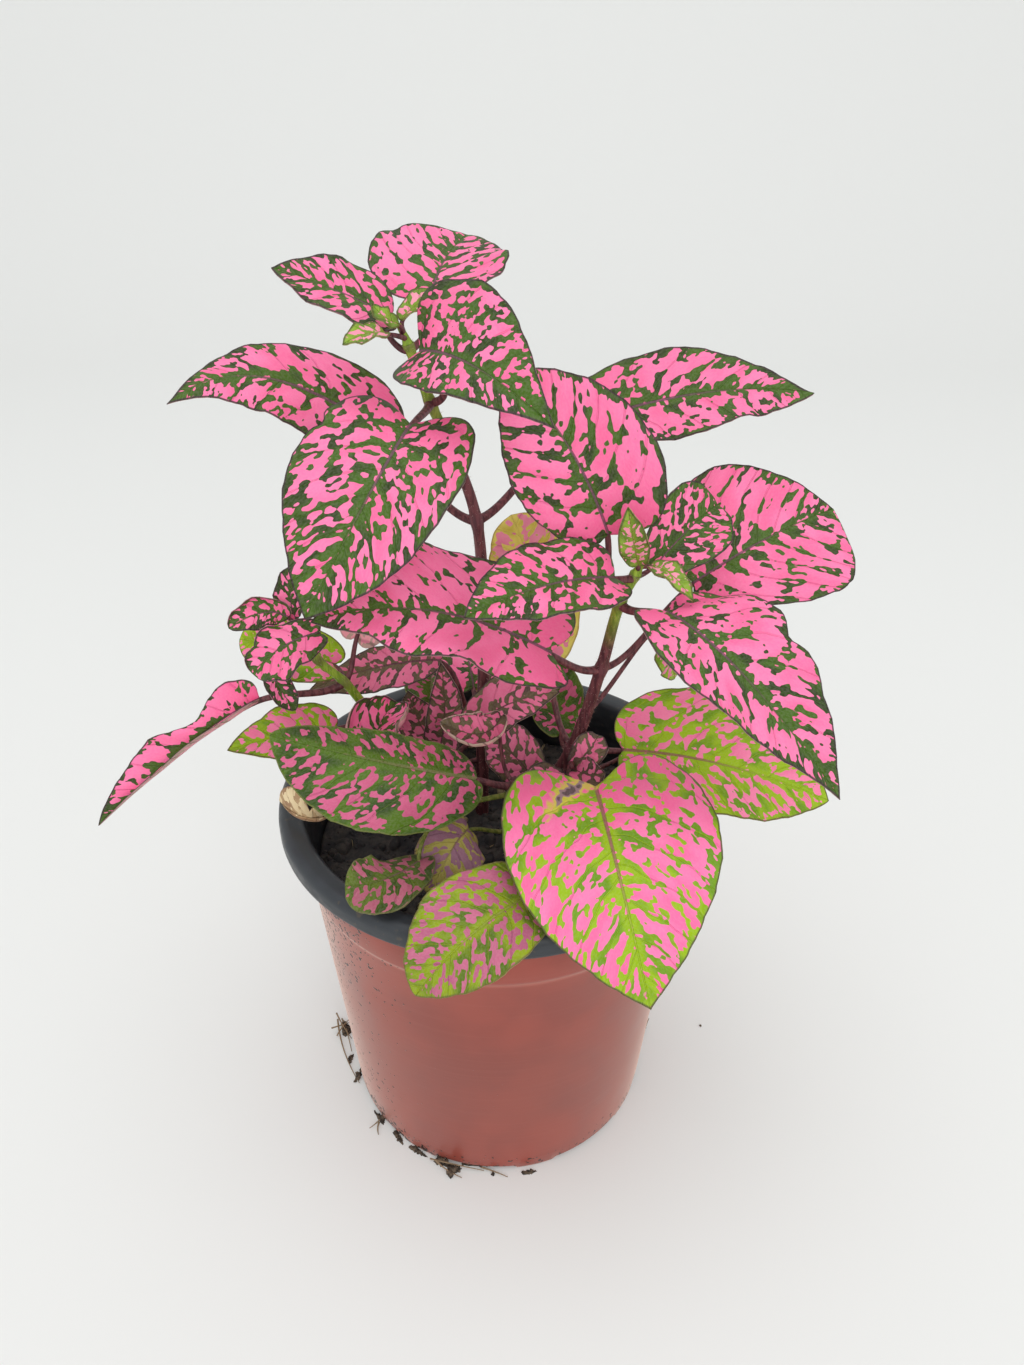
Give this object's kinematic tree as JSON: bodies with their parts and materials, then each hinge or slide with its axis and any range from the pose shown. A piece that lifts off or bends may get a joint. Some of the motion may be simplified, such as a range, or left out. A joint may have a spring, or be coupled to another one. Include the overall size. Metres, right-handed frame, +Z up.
{
  "type": "potted polka dot plant",
  "caption": "Round tapered nursery pot filled with soil, with a leafy foliage plant whose pink-splashed green leaves stand on branching stems.",
  "frame": {"origin": "middle of the pot's underside, on the surface that it stands on", "axes": "+Z up; -Y towards the picture's viewer, +X to the viewer's right"},
  "size_m": [0.1626, 0.1147, 0.2057],
  "materials": {
    "pot_plastic": "matte",
    "soil": "matte",
    "stem": "satin",
    "leaf_pink": "satin",
    "leaf_green": "satin",
    "leaf_lime": "satin",
    "leaf_faded": "satin",
    "leaf_shade": "satin",
    "leaf_dry": "matte"
  },
  "bodies": {
    "root": {"pot": "pot_plastic", "soil": "soil", "stem_tall": "stem", "stem_right": "stem", "stem_left": "stem", "stem_back": "stem", "stem_front": "stem", "shoot_tip_tall": "leaf_pink", "shoot_tip_right": "leaf_pink", "shoot_tip_left": "leaf_pink", "side_shoot": "leaf_shade", "leaf_top_left": "leaf_pink", "leaf_top_back": "leaf_pink", "leaf_top_right": "leaf_pink", "leaf_tall_left": "leaf_pink", "leaf_tall_front": "leaf_pink", "leaf_tall_right": "leaf_pink", "leaf_right_upright": "leaf_pink", "leaf_right_inner": "leaf_pink", "leaf_right_small": "leaf_pink", "leaf_right_outer": "leaf_pink", "leaf_right_drooping": "leaf_pink", "leaf_right_long": "leaf_pink", "leaf_over_rim": "leaf_lime", "leaf_right_low": "leaf_lime", "leaf_right_low_back": "leaf_lime", "leaf_inner_upright": "leaf_faded", "leaf_inner_low": "leaf_green", "leaf_inner_shade": "leaf_shade", "leaf_left_curled": "leaf_pink", "leaf_left_lime": "leaf_lime", "leaf_left_folded": "leaf_pink", "leaf_left_low": "leaf_green", "leaf_cupped": "leaf_pink", "leaf_left_back": "leaf_pink", "leaf_dry": "leaf_dry", "leaf_front_broad": "leaf_green", "leaf_front_rolled": "leaf_shade", "leaf_front_pointed": "leaf_lime", "leaf_front_rim": "leaf_green", "leaf_front_faded": "leaf_faded", "leaf_shade_left": "leaf_shade", "leaf_shade_middle": "leaf_shade", "leaf_shade_curled": "leaf_shade", "leaf_shade_low": "leaf_shade", "leaf_back_left": "leaf_green", "leaf_back_tall": "leaf_pink", "leaf_back_middle": "leaf_lime", "leaf_back_right": "leaf_green", "leaf_back_outer": "leaf_pink"}
  },
  "joints": []
}
